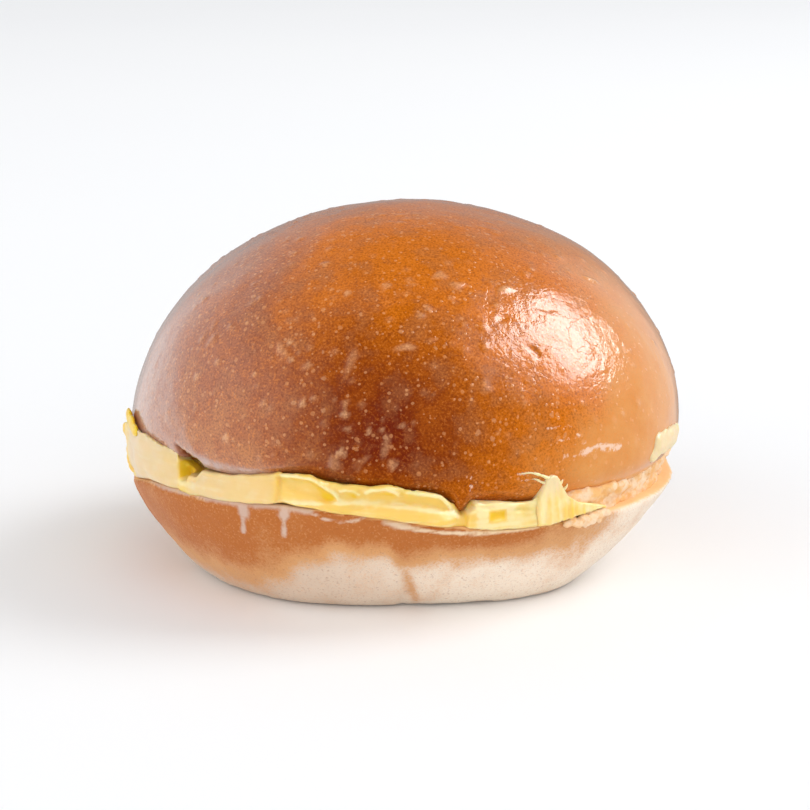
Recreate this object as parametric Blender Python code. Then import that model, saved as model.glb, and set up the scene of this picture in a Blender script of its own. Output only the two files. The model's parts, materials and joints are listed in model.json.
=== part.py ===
"""A buttered bun: a glossy domed crown, a thick butter filling and a shallow pale heel.

Metres, +Z up. The bun stands on its flat foot at the origin, with its buttered front towards -Y.
Angles round the bun are in degrees as seen from above: 0 is the right end (+X), 90 the back,
180 the left end and 270 the front.
"""

import math

import bmesh
import bpy

# Size of the whole bun
BUN_WIDTH = 0.1040
BUN_DEPTH = 0.0980
BUN_HEIGHT = 0.0675
PLAN_SQUARENESS = 2.12  # exponent of the outline seen from above; 2 is a plain ellipse
LEAN = 0.0027  # how far to the right the bun leans as it rises
LEAN_HEIGHT = 0.052  # the height at which it stops leaning further
GAP = 0.0003  # air between touching pieces

# Heights round the bun, as (angle, height) where the edges turn
CROWN_SHOULDER = ((0, 0.0270), (90, 0.0290), (180, 0.0265), (225, 0.0315), (270, 0.0295), (320, 0.0270))
CROWN_RIM = (
    *((0, 0.0205), (90, 0.0220), (160, 0.0245), (184, 0.0230)),
    *((208, 0.0270), (252, 0.0275), (312, 0.0200)),
)
HEEL_RIM = (
    *((0, 0.0175), (90, 0.0170), (140, 0.0175), (182, 0.0160)),
    *((212, 0.0205), (248, 0.0220), (296, 0.0175), (325, 0.0180)),
)
CROWN_FACE = 0.0230  # middle of the crown's cut face
HEEL_FACE = 0.0188  # middle of the heel's cut face

# Crown: how far its crust curls in under the shoulder, and the form of the dome
CROWN_TUCK = ((0, 0.0065), (60, 0.0030), (180, 0.0015), (270, 0.0025), (320, 0.0048))
DOME_FULLNESS = 2.02  # exponent of the dome's profile; higher is fuller

# Heel: the flat foot it stands on, and the seam pinched in the dough at the front
HEEL_INSET = 0.0006  # the heel's rim lies this far inside the crown's shoulder
FOOT_SHARE = ((0, 0.65), (60, 0.74), (180, 0.71), (235, 0.73), (272, 0.70), (315, 0.76))  # of the rim
HEEL_FULLNESS = ((0, 1.18), (60, 1.35), (120, 1.40), (180, 1.30), (240, 1.42), (320, 1.22))
SEAM_ANGLE = 272.5
SEAM_HALF_WIDTH = 3.2  # degrees
SEAM_DEPTH = 0.0011
SEAM_TOP = 0.0115

# Butter: knife strokes round the edge, as (start angle, end angle, rise above the crown's rim,
# reach past the rims, level of its fullest part from 0 at the heel to 1 at the crown)
KNIFE_STROKES = (
    (166, 219, 0.0020, 0.0021, 0.55),
    (224, 248, 0.0000, 0.0006, 0.35),
    (246, 259, 0.0013, 0.0016, 0.60),
    (257, 263, 0.0008, 0.0009, 0.75),
    (261, 270, 0.0010, 0.0012, 0.70),
    (256, 281, 0.0000, 0.0015, 0.20),
    (269, 280, 0.0006, 0.0006, 0.75),
    (284, 298, 0.0008, 0.0009, 0.50),
    (296, 305, 0.0042, 0.0017, 0.60),
    (303, 316, 0.0008, 0.0010, 0.40),
    (343, 364, 0.0028, 0.0044, 0.70),
    (6, 33, 0.0006, 0.0012, 0.40),
    (30, 64, 0.0014, 0.0018, 0.60),
    (60, 86, 0.0004, 0.0012, 0.35),
    (84, 117, 0.0016, 0.0020, 0.65),
    (113, 143, 0.0006, 0.0014, 0.40),
    (141, 170, 0.0012, 0.0016, 0.60),
)
# Places where the knife left too little butter to reach the edge, as (middle, half width, setback)
BARE_PLACES = ((221.8, 3.2, 0.0042), (330, 15, 0.0040), (3, 6, 0.0026))
STROKE_SOFT_START = 0.45  # share of a stroke over which it swells up
STROKE_CRISP_END = 0.14  # share of a stroke over which it breaks off
STROKE_SPREAD = 0.42  # share of the butter's height over which a stroke's swelling dies away
BUTTER_SETBACK = 0.0004  # between strokes the butter stops this far inside the rims
LIP_THICKNESS = 0.0010
LIP_CLEARANCE = 0.0006  # air between the lip and the crown's crust
LIP_TILT = 0.1  # a lip leans outwards by this share of its rise
BARE_SETBACK = 0.0010  # where the butter stops this far back it has no lip

# How finely each piece is divided
CROWN_SEGMENTS, DOME_RINGS, TUCK_RINGS = 72, 15, 4
HEEL_SEGMENTS, HEEL_RINGS = 72, 11
BUTTER_SEGMENTS, BUTTER_EDGE_RINGS = 144, 6
FACE_SHARES = (0.93, 0.7, 0.4)  # rings on a cut face, as shares of its radius
RIM_SHARE = 0.975  # the ring that keeps a cut face's rim crisp


# ---------------------------------------------------------------- rules shared by the pieces
def smooth_step(x):
    x = min(1.0, max(0.0, x))
    return x * x * (3 - 2 * x)


def round_the_bun(stations, angle):
    """A smooth closed curve through (angle, value) stations, level at each of them."""
    first, value = stations[0]
    loop = (*stations, (first + 360, value))
    place = first + (angle - first) % 360
    for (start, here), (end, there) in zip(loop, loop[1:]):
        if place <= end:
            return here + (there - here) * smooth_step((place - start) / (end - start))


def angle_from(middle, angle):
    """How far an angle lies from another, from -180 to 180 degrees."""
    return (angle - middle + 180) % 360 - 180


def plan_radius(angle):
    """Radius of the bun's widest outline: a rounded oval, a little uneven as hand-shaped dough is."""
    a = math.radians(angle)
    c = abs(math.cos(a)) / (BUN_WIDTH / 2)
    s = abs(math.sin(a)) / (BUN_DEPTH / 2)
    oval = (c**PLAN_SQUARENESS + s**PLAN_SQUARENESS) ** (-1 / PLAN_SQUARENESS)
    return oval * (1 + 0.007 * math.cos(3 * a + 0.9) + 0.004 * math.cos(5 * a + 2.3))


def at(angle, radius, height):
    """A point at an angle and radius round the bun's middle, which leans as it rises."""
    a = math.radians(angle)
    lean = LEAN * math.sin(math.pi / 2 * min(1, height / LEAN_HEIGHT))
    return (radius * math.cos(a) + lean, radius * math.sin(a), height)


def even_angles(count):
    return [360 * i / count for i in range(count)]


# ---------------------------------------------------------------- crown
def crown_rim_radius(angle):
    return plan_radius(angle) - round_the_bun(CROWN_TUCK, angle)


def crown_rim_height(angle):
    return round_the_bun(CROWN_RIM, angle)


def tuck_turn(share):
    """The crust's turn under the shoulder, ending short of level so that the rim keeps an edge."""
    return share * math.radians(68)


def crown_tuck_point(angle, share):
    """(radius, height) under the shoulder: share 0 is the shoulder and 1 the rim."""
    turn, full = tuck_turn(share), tuck_turn(1)
    shoulder = round_the_bun(CROWN_SHOULDER, angle)
    inward = round_the_bun(CROWN_TUCK, angle) * (1 - math.cos(turn)) / (1 - math.cos(full))
    down = (shoulder - crown_rim_height(angle)) * math.sin(turn) / math.sin(full)
    return plan_radius(angle) - inward, shoulder - down


def crown_radius_at(angle, height):
    """Radius of the crown's crust at a height between its rim and its shoulder."""
    shoulder, rim = round_the_bun(CROWN_SHOULDER, angle), crown_rim_height(angle)
    share = min(1.0, max(0.0, (shoulder - height) / (shoulder - rim)))
    turn = math.asin(share * math.sin(tuck_turn(1))) / tuck_turn(1)
    return crown_tuck_point(angle, turn)[0]


def crown_face_height(angle, share):
    """Height of the crown's cut face at a share of its radius."""
    return CROWN_FACE + (crown_rim_height(angle) - CROWN_FACE) * share**2


def dome_point(angle, share):
    """A point of the dome: share 0 is the shoulder and 1 the top."""
    turn = share * math.pi / 2
    power = 2 / DOME_FULLNESS
    shoulder = round_the_bun(CROWN_SHOULDER, angle)
    radius = plan_radius(angle) * math.cos(turn) ** power
    return at(angle, radius, shoulder + (BUN_HEIGHT - shoulder) * math.sin(turn) ** power)


def build_crown():
    angles = even_angles(CROWN_SEGMENTS)
    rings = []
    for i in range(DOME_RINGS):
        rings.append([dome_point(a, 1 - (i + 1) / DOME_RINGS) for a in angles])
    for i in range(TUCK_RINGS):
        rings.append([at(a, *crown_tuck_point(a, (i + 1) / TUCK_RINGS)) for a in angles])
    for share in (RIM_SHARE, *FACE_SHARES):
        rings.append(
            [at(a, crown_rim_radius(a) * share, crown_face_height(a, share)) for a in angles]
        )
    return skin("crown", at(0, 0, BUN_HEIGHT), rings, at(0, 0, CROWN_FACE))


# ---------------------------------------------------------------- heel
def heel_rim_radius(angle):
    return plan_radius(angle) - HEEL_INSET


def heel_rim_height(angle):
    return round_the_bun(HEEL_RIM, angle)


def heel_face_height(angle, share):
    """Height of the heel's cut face at a share of its radius."""
    return HEEL_FACE + (heel_rim_height(angle) - HEEL_FACE) * share**2


def seam_pinch(angle, height):
    """How far the seam at the front draws the crust in."""
    across = 1 - smooth_step(abs(angle_from(SEAM_ANGLE, angle)) / SEAM_HALF_WIDTH)
    up = 1 - smooth_step(2 * height / SEAM_TOP - 1)
    return SEAM_DEPTH * across * up


def heel_point(angle, share):
    """A point of the heel's side: share 0 is the edge of the foot and 1 the rim."""
    turn = share * math.pi / 2
    power = 2 / round_the_bun(HEEL_FULLNESS, angle)
    rim = heel_rim_radius(angle)
    foot = rim * round_the_bun(FOOT_SHARE, angle)
    radius = foot + (rim - foot) * math.sin(turn) ** power
    height = heel_rim_height(angle) * (1 - math.cos(turn) ** power)
    return at(angle, radius - seam_pinch(angle, height), height)


def build_heel():
    seam = [SEAM_ANGLE + SEAM_HALF_WIDTH * k for k in (-1, -0.5, 0, 0.5, 1)]
    angles = sorted({*even_angles(HEEL_SEGMENTS), *seam})
    rings = [
        [at(a, heel_rim_radius(a) * share, heel_face_height(a, share)) for a in angles]
        for share in (*reversed(FACE_SHARES), RIM_SHARE)
    ]
    for i in range(HEEL_RINGS + 1):
        rings.append([heel_point(a, 1 - i / HEEL_RINGS) for a in angles])
    return skin("heel", at(0, 0, HEEL_FACE), rings, at(0, 0, 0))


# ---------------------------------------------------------------- butter
def stroke_shape(start, end, angle):
    """How much of a knife stroke there is at an angle, from 0 to 1: it swells up, then breaks off."""
    along = (angle - start) % 360 / (end - start)
    rise = smooth_step(along / STROKE_SOFT_START)
    return rise * smooth_step((1 - along) / STROKE_CRISP_END)


def setback(angle):
    """How far the butter stops short of the rims where the knife left it bare."""
    found = 0.0
    for middle, half_width, depth in BARE_PLACES:
        near = 1 - abs(angle_from(middle, angle)) / half_width
        found = max(found, depth * smooth_step(near * 2.2))
    return found


def butter_rise(angle):
    """How far the butter stands up over the crown's rim."""
    return max(rise * stroke_shape(start, end, angle) for start, end, rise, _, _ in KNIFE_STROKES)


def butter_reach(angle, level):
    """How far the butter's edge stands past the rims at a level between heel and crown."""
    swell = [
        reach * stroke_shape(start, end, angle) * math.exp(-(((level - fullest) / STROKE_SPREAD) ** 2))
        for start, end, _, reach, fullest in KNIFE_STROKES
    ]
    return max(swell) - BUTTER_SETBACK - setback(angle)


def butter_edge(angle, level):
    """(radius, height) of the butter's edge at a level: 0 on the heel's rim, 1 at the crown's."""
    low, high = heel_rim_height(angle) + GAP, crown_rim_height(angle) - GAP
    inner = heel_rim_radius(angle) * (1 - level) + crown_rim_radius(angle) * level
    return inner + butter_reach(angle, level), low + (high - low) * level


def butter_lip(angle):
    """Points of the lip that rises over the crown's rim, from its inner foot to its outer side."""
    rim, height = crown_rim_radius(angle), crown_rim_height(angle)
    bare = setback(angle) / BARE_SETBACK
    room = smooth_step(2 - 2 * bare)  # the lip's thickness fades out towards a bare place
    rise = butter_rise(angle) * smooth_step(1 - 2 * bare)
    outer = max(butter_edge(angle, 1)[0], rim + (GAP + LIP_THICKNESS) * room)
    top = height - GAP + rise

    def inner(share):
        """Radius of the lip's inner side at a share of its rise; a tall lip leans outwards."""
        clear = crown_radius_at(angle, height + rise * share) + LIP_CLEARANCE + LIP_TILT * rise
        return clear * room + (outer - LIP_THICKNESS) * (1 - room)

    crest = inner(1)
    side = max(crest + LIP_THICKNESS, outer) * room + outer * (1 - room)
    return (
        (inner(0), height - 1.2 * GAP),
        (inner(0.5), height - GAP + rise / 2),
        (crest, top),
        (max(side - LIP_THICKNESS / 4, crest + GAP / 2), top),
        (side, top - rise * 0.35),
    )


def build_butter():
    angles = even_angles(BUTTER_SEGMENTS)
    rings = [
        [at(a, crown_rim_radius(a) * share, crown_face_height(a, share) - 1.2 * GAP) for a in angles]
        for share in reversed(FACE_SHARES)
    ]
    lips = [butter_lip(a) for a in angles]
    for points in zip(*lips):
        rings.append([at(a, *point) for a, point in zip(angles, points)])
    for i in range(BUTTER_EDGE_RINGS):
        level = 1 - (i + 1) / BUTTER_EDGE_RINGS
        rings.append([at(a, *butter_edge(a, level)) for a in angles])
    rings += [
        [at(a, heel_rim_radius(a) * share, heel_face_height(a, share) + GAP) for a in angles]
        for share in FACE_SHARES
    ]
    return skin("butter", at(0, 0, CROWN_FACE - GAP), rings, at(0, 0, HEEL_FACE + GAP))


# ---------------------------------------------------------------- making the objects
def skin(name, top, rings, bottom):
    """A closed body skinned over rings that run from a point at the top to a point at the bottom."""
    bm = bmesh.new()
    loops = [[bm.verts.new(point) for point in ring] for ring in rings]
    first, last = bm.verts.new(top), bm.verts.new(bottom)
    count = len(rings[0])
    for i in range(count):
        j = (i + 1) % count
        bm.faces.new((first, loops[0][i], loops[0][j]))
        for upper, lower in zip(loops, loops[1:]):
            bm.faces.new((upper[i], lower[i], lower[j], upper[j]))
        bm.faces.new((last, loops[-1][j], loops[-1][i]))
    bmesh.ops.recalc_face_normals(bm, faces=bm.faces)
    mesh = bpy.data.meshes.new(name)
    bm.to_mesh(mesh)
    bm.free()
    mesh.shade_smooth()
    mesh.set_sharp_from_angle(angle=math.radians(50))
    piece = bpy.data.objects.new(name, mesh)
    bpy.context.scene.collection.objects.link(piece)
    return piece


def paint(piece, colour, roughness):
    """Gives a piece its own plain material."""
    material = bpy.data.materials.new(piece.name)
    material.use_nodes = True
    shader = material.node_tree.nodes["Principled BSDF"]
    shader.inputs["Base Color"].default_value = (*colour, 1)
    shader.inputs["Roughness"].default_value = roughness
    shader.inputs["Metallic"].default_value = 0
    piece.data.materials.append(material)


def centre(pieces):
    """Moves the pieces together so that the middle of the whole stands over the origin."""
    corners = [v.co for piece in pieces for v in piece.data.vertices]
    shift = [-(max(c[k] for c in corners) + min(c[k] for c in corners)) / 2 for k in (0, 1)]
    for piece in pieces:
        piece.location = (*shift, 0)


def main():
    for old in list(bpy.data.objects):
        bpy.data.objects.remove(old, do_unlink=True)
    crown, butter, heel = build_crown(), build_butter(), build_heel()
    paint(crown, (0.42, 0.15, 0.035), 0.3)
    paint(butter, (0.88, 0.66, 0.22), 0.35)
    paint(heel, (0.66, 0.42, 0.22), 0.6)
    centre((crown, butter, heel))


main()
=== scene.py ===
# %% [markdown]
# # Bun maska
# A bun maska is a soft, round, egg-washed bun that is cut across, spread thickly with butter and closed.
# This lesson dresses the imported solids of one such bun: a glossy crown, a band of knife-spread butter and
# a pale heel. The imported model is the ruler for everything: each finished piece is made where its solid
# is, in metres, with +Z up.

import json
import math
from contextlib import contextmanager

import bpy
import numpy as np
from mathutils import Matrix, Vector, noise

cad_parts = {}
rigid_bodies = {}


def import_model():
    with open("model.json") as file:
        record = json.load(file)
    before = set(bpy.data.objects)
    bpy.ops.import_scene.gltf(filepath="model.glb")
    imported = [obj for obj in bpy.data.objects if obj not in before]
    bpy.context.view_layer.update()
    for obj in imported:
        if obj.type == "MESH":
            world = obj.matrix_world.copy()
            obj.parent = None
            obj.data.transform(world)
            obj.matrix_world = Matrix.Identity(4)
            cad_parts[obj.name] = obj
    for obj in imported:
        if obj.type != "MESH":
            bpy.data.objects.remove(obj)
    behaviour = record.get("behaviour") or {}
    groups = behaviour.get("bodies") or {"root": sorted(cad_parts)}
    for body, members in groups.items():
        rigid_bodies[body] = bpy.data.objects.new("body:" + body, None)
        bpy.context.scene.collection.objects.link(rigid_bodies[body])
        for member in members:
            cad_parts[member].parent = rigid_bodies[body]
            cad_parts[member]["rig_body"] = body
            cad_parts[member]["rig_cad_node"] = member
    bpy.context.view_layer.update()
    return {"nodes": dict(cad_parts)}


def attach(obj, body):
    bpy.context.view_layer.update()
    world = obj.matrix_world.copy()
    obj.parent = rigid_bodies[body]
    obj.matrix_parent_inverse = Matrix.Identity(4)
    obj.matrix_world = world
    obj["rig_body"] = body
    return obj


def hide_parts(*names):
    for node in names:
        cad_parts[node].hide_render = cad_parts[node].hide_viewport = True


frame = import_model()
MM = 0.001

# %% [markdown]
# ## Habits that keep the work tidy
# An operator works on whatever is selected, so each step starts by selecting its own piece and nothing
# else. A modifier is added, set and applied in one go. The shape of a soft food is changed most easily
# by moving many vertices at once, so there are also helpers that read and push all vertices.


# %% Selecting, finishing and editing
def take(*pieces):
    """Selects these pieces alone; the first is the active one."""
    bpy.ops.object.select_all(action="DESELECT")
    for piece in pieces:
        piece.select_set(True)
    bpy.context.view_layer.objects.active = pieces[0]


def finish_with(piece, kind, **settings):
    """Adds one modifier with its settings and applies it."""
    take(piece)
    modifier = piece.modifiers.new(kind, kind)
    for name, value in settings.items():
        setattr(modifier, name, value)
    bpy.ops.object.modifier_apply(modifier=modifier.name)


@contextmanager
def editing(piece):
    """Edit mode with all of a piece selected, and object mode again afterwards."""
    take(piece)
    bpy.ops.object.mode_set(mode="EDIT")
    bpy.ops.mesh.select_all(action="SELECT")
    yield
    bpy.ops.object.mode_set(mode="OBJECT")


def remesh(piece, voxel):
    """One closed skin of small even faces; the voxel is in metres."""
    finish_with(piece, "REMESH", mode="VOXEL", voxel_size=voxel, use_smooth_shade=True)
    print(piece.name, "has", len(piece.data.polygons), "even faces")


# %% Reading, pushing and painting all vertices
def triples(rows, name):
    flat = np.empty(len(rows) * 3, np.float32)
    rows.foreach_get(name, flat)
    return flat.reshape(-1, 3).astype(float)


def points_of(piece):
    return triples(piece.data.vertices, "co")


def normals_of(piece):
    return triples(piece.data.vertex_normals, "vector")


def place(piece, points):
    piece.data.vertices.foreach_set("co", points.astype(np.float32).ravel())
    piece.data.update()


def push(piece, amount):
    """Moves every vertex along its own normal by its own amount, in metres."""
    place(piece, points_of(piece) + normals_of(piece) * np.asarray(amount)[:, None])


def paint_on(piece, name, values):
    """Keeps one number per vertex on the mesh, for a material to read."""
    layer = piece.data.attributes.new(name, "FLOAT", "POINT")
    values = np.broadcast_to(values, len(piece.data.vertices))
    layer.data.foreach_set("value", np.clip(values, 0, 1).astype(np.float32))


def soft_step(x):
    x = np.clip(x, 0.0, 1.0)
    return x * x * (3 - 2 * x)


# %% [markdown]
# ### Where a point is on the bun
# Most of what shows lies round the edge, so a place is named by its angle round the bun (0 is the right,
# 90 the back, 180 the left and 270 the front) and its height. Unrolled flat, the edge becomes a strip in
# mm, on which lines and outlines can be drawn and distances measured.

# %% Angle, reach and the unrolled edge
# the edge's mean reach from the bun's axis, and the length of one degree of it, in mm
EDGE_REACH = 48
ARC = EDGE_REACH * math.pi / 180


def angle_of(points):
    return np.degrees(np.arctan2(points[:, 1], points[:, 0])) % 360


def reach_of(points):
    """How far each point is from the bun's upright axis, in mm."""
    return np.hypot(points[:, 0], points[:, 1]) / MM


def outward_of(points):
    """The level direction away from the bun's axis at each point."""
    level = points * (1, 1, 0)
    return level / np.linalg.norm(level, axis=1).clip(MM)[:, None]


def unrolled(points):
    """Each point's place on the edge laid flat, in mm: along it and up."""
    return np.column_stack([angle_of(points) * ARC, points[:, 2] / MM])


def round_the_bun(angle, stations):
    """A value given at a few angles round the bun, joined smoothly between them."""
    angles, values = np.array(stations, float).T
    nxt = np.searchsorted(angles, angle % 360, side="right") % len(angles)
    before = (nxt - 1) % len(angles)
    span = (angles[nxt] - angles[before]) % 360
    share = soft_step(((angle - angles[before]) % 360) / span)
    return values[before] + (values[nxt] - values[before]) * share


def beside_line(places, line):
    """How far places are from a line, in mm, positive on its left, and how far along it, 0 to 1."""
    corners = np.array([(angle * ARC, height) for angle, height in line], float)
    lengths = np.linalg.norm(np.diff(corners, axis=0), axis=1)
    best = np.full(len(places), 1e9)
    side, along = np.zeros(len(places)), np.zeros(len(places))
    for i, length in enumerate(lengths):
        step = (corners[i + 1] - corners[i]) / length
        off = places - corners[i]
        t = np.clip(off @ step, 0, length)
        gap = np.linalg.norm(off - t[:, None] * step, axis=1)
        closer = gap < best
        best[closer] = gap[closer]
        side[closer] = (step[0] * off[:, 1] - step[1] * off[:, 0])[closer]
        along[closer] = ((lengths[:i].sum() + t) / lengths.sum())[closer]
    return np.where(side > 0, best, -best), along


def near_lines(places, lines):
    """How near each place is to any of these lines: rows of line, half width in mm and strength."""
    return np.max([
        strength * np.exp(-((beside_line(places, line)[0] / width) ** 2))
        for line, width, strength in lines
    ], axis=0)


# %% [markdown]
# ## Starting from a solid
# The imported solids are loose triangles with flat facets. A copy is merged into one closed skin, its
# triangles are joined into quads, and a subdivision surface rounds it. A voxel remesh then gives the
# whole skin small even faces, so that relief can be pressed into it anywhere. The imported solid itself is
# never touched, because it stays the fixed frame.


# %% A rounded, evenly meshed copy of a solid
MERGE_DISTANCE = 0.002 * MM


def copy_of(node, name):
    take(frame["nodes"][node])
    bpy.ops.object.duplicate()
    piece = bpy.context.object
    bpy.ops.object.parent_clear(type="CLEAR_KEEP_TRANSFORM")
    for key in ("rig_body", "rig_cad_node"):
        del piece[key]
    piece.name = piece.data.name = name
    piece.data.materials.clear()
    with editing(piece):
        bpy.ops.mesh.remove_doubles(threshold=MERGE_DISTANCE)
        bpy.ops.mesh.tris_convert_to_quads()
    bpy.ops.mesh.customdata_custom_splitnormals_clear()
    return piece


def rounded_and_even(piece, rounds, voxel):
    finish_with(piece, "SUBSURF", levels=rounds, render_levels=rounds)
    remesh(piece, voxel)


def uneven(piece, name, size, depth, amount):
    """Raises and lowers a skin by a cloud pattern: its size and the amount are in mm."""
    texture = bpy.data.textures.new(name, "CLOUDS")
    texture.noise_scale, texture.noise_depth = size * MM, depth
    finish_with(piece, "DISPLACE", texture=texture, texture_coords="LOCAL", strength=amount * MM)


# %% [markdown]
# ## The crown
# The crown is the upper half: a tight, shining dome whose crust curls under at the cut. A baked dome is
# never a perfect surface. It has slow swells from the proof, a finer orange-peel unevenness, and blisters
# where gas sat under the skin. Each is pressed in at its own scale, from the slowest to the finest.

# %% The dome and its slow swells
CROWN_VOXEL = 0.58 * MM
crown = copy_of("crown", "crown_crust")
rounded_and_even(crown, 2, CROWN_VOXEL)
uneven(crown, "proof swells", 26, 1, 1.1)
uneven(crown, "orange peel", 5, 2, 0.2)

# %% [markdown]
# ### Blisters
# A blister is placed by where it is seen from the bun's middle: its angle round the bun and its lift
# above the cut. The larger ones are listed one by one, round or long and turned, and the small ones are
# scattered with a fixed seed. Their caps dry out in the oven and stay paler than the skin, so their
# paleness is kept on the mesh too. A few are slits, where the skin has split and sunk in.
# A few raised ones near the gloss stand for glints: their paleness there is a painted highlight.

# %% Where the blisters are
MIDDLE = np.array([0.0, 0.0, 30 * MM])
# angle round the bun, lift, half length and half width in mm, turn from level, height in mm, paleness;
# on a few raised marks near the gloss the paleness is a painted highlight
BLISTERS = (
    (258.3, 12.4, 1.1, 0.7, 80, 0.3, 0.6), (258.6, 10.2, 0.9, 0.9, 0, 0.4, 1),
    (257.9, 2.8, 1.1, 1, 0, 0.4, 0.9), (256.9, 0.7, 1.5, 1.4, 0, 0.35, 0.4),
    (261.9, 1.2, 2.2, 0.6, 25, 0.22, 0.3), (266.7, 4.2, 2.8, 0.9, 80, 0.25, 0.45),
    (268.5, 0.5, 1.1, 1, 0, 0.3, 0.6), (259.6, 7.6, 0.8, 0.7, 0, 0.25, 0.6),
    (263.1, 6.5, 0.9, 0.5, 110, 0.25, 0.8), (266.3, 7.2, 0.6, 0.6, 0, 0.22, 0.7),
    (270.5, 8, 0.8, 0.7, 0, 0.25, 0.6), (265.9, 40.7, 1.2, 1, 80, 0.2, 0.5),
    (283, 43.6, 1.6, 1.3, 0, 0.26, 0.5), (287.2, 40.7, 1.8, 1, 0, 0.24, 0.4),
    (273.2, 41.4, 0.9, 0.7, 0, 0.18, 0.3), (276.9, 34.2, 0.8, 0.8, 0, 0.24, 0.5),
    (274.8, 32.2, 0.9, 0.8, 0, 0.24, 0.5), (283.8, 36.7, 0.7, 0.6, 0, 0.2, 0.5),
    (271.3, 24.9, 2.4, 0.9, 5, 0.2, 0.6), (254.4, 37.7, 1, 0.7, 80, 0.2, 0.7),
    (243.4, 24.5, 0.7, 0.6, 0, 0.2, 0.6), (242.2, 22.3, 2.2, 0.9, -40, 0.24, 0.5),
    (245, 20.2, 0.8, 0.6, 0, 0.24, 0.8), (249.3, 19.3, 1, 0.8, 110, 0.22, 0.6),
    (249.2, 11.9, 1.1, 0.6, 85, 0.22, 0.8), (237.2, 16.3, 0.8, 0.7, 0, 0.2, 0.5),
    (221.8, 13.6, 0.8, 0.8, 0, 0.2, 0.7), (222.2, 21.7, 1.8, 1.1, 70, 0.2, 0.2),
    (227.3, 17.4, 1, 0.9, 0, 0.2, 0.4), (240.5, 11.1, 0.9, 0.8, 0, 0.2, 0.4),
    (251.7, 13.1, 0.9, 0.7, 0, 0.2, 0.5), (233.1, 3.3, 0.9, 0.9, 0, 0.2, 1),
    (258.9, 21.5, 3.6, 1, 78, 0.2, 0.35), (325, 6.9, 0.9, 0.8, 0, 0.25, 0.6),
    (336.3, 34.8, 2.3, 0.7, -38, 0.35, 1), (301.6, 37.7, 1.9, 0.9, 0, 0.32, 0.8),
    (334.3, 43.4, 1.2, 0.9, 0, 0.2, 0.2), (288, 15, 1.3, 1, 0, 0.2, 0.3),
    (297, 30.5, 1.6, 0.8, 10, -0.2, 0), (310.5, 30.5, 3, 0.7, -20, -0.16, 0),
    (301.5, 21.8, 1.9, 0.75, -55, -0.34, 0), (208.5, 29.6, 1.1, 0.9, 0, 0.2, 0.3),
    (241.7, 47.2, 1.1, 0.8, 20, 0.2, 0.3), (316, 19.5, 0.9, 0.6, -60, 0.25, 0.8),
    (309, 9.5, 1, 0.5, 0, 0.2, 0.3),
)
SMALL_BLISTERS = 420
SEED = 11


# %% Pressing the blisters in
def aim(azimuth, lift):
    """The direction at this angle round the bun, lifted over level by so many degrees."""
    a, e = math.radians(azimuth), math.radians(lift)
    return np.array([math.cos(a) * math.cos(e), math.sin(a) * math.cos(e), math.sin(e)])


chance = np.random.default_rng(SEED)
crown_points = points_of(crown)
crown_aims = crown_points - MIDDLE
crown_aims /= np.linalg.norm(crown_aims, axis=1)[:, None]
blister_height, cap_and_glint_paleness = np.zeros(len(crown_points)), np.zeros(len(crown_points))
# how wavy a large blister's outline is, and how far past its size its faces are looked for
WAVY, LOOK_PAST = 0.16, 1.4


def mound_at(azimuth, lift, length, width, turn=0.0, wavy=0.0):
    """1 in the middle of a blister and 0 outside it: its half length and half width are in metres."""
    centre = crown_points[np.argmax(crown_aims @ aim(azimuth, lift))]
    off = crown_points - centre
    near = np.flatnonzero(np.linalg.norm(off, axis=1) < LOOK_PAST * max(length, width))
    level, upright = off[near] @ aim(azimuth + 90, 0), off[near] @ aim(azimuth, lift + 90)
    t = math.radians(turn)
    u = level * math.cos(t) + upright * math.sin(t)
    v = upright * math.cos(t) - level * math.sin(t)
    angle = np.arctan2(v, u)
    waves = 1 + wavy * (np.sin(3 * angle + azimuth) + 0.6 * np.sin(5 * angle + lift))
    return near, soft_step((1 - np.hypot(u / length, v / width) * waves) * 1.5)


for azimuth, lift, length, width, turn, rise, paleness in BLISTERS:
    near, mound = mound_at(azimuth, lift, length * MM, width * MM, turn, WAVY)
    stronger = np.abs(mound * rise * MM) > np.abs(blister_height[near])
    blister_height[near] = np.where(stronger, mound * rise * MM, blister_height[near])
    cap_and_glint_paleness[near] = np.maximum(cap_and_glint_paleness[near], mound * paleness)
for _ in range(SMALL_BLISTERS):
    azimuth, lift = chance.uniform(0, 360), math.degrees(math.asin(chance.uniform(-0.03, 0.98)))
    radius = chance.uniform(0.55, 1.0) * MM
    rise = chance.uniform(0.06, 0.16)
    near, mound = mound_at(azimuth, lift, radius, radius)
    blister_height[near] = np.maximum(blister_height[near], mound * rise * MM)
    cap_and_glint_paleness[near] = np.maximum(cap_and_glint_paleness[near], mound * rise * 2)
push(crown, blister_height)
# pale caps, and on a few marks near the gloss a painted highlight
paint_on(crown, "caps_and_glints", cap_and_glint_paleness)
print("blisters:", len(BLISTERS), "large and", SMALL_BLISTERS, "small")

# %% [markdown]
# ### Flatter cheeks
# A bun that has touched others on the tray, or has been handled, is a little flatter there. A cheek is
# a soft push inwards over a wide patch, strongest in its middle.


# %% Cheeks pressed in
def patch(azimuth, lift, reach, level):
    """A soft round patch on the crown: its reach is in degrees, and level is how full its middle is."""
    gap = np.degrees(np.arccos(np.clip(crown_aims @ aim(azimuth, lift), -1, 1)))
    return soft_step(level - gap / reach)


# angle round the bun, lift and reach in degrees, push in mm
CHEEKS = ((345, 8, 34, -0.9), (205, 4, 20, -0.3), (225, 42, 18, -0.3), (350, 56, 26, -0.7))
for azimuth, lift, reach, cheek_push in CHEEKS:
    push(crown, cheek_push * MM * patch(azimuth, lift, reach, 1.2))
print("cheeks:", len(CHEEKS))

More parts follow.
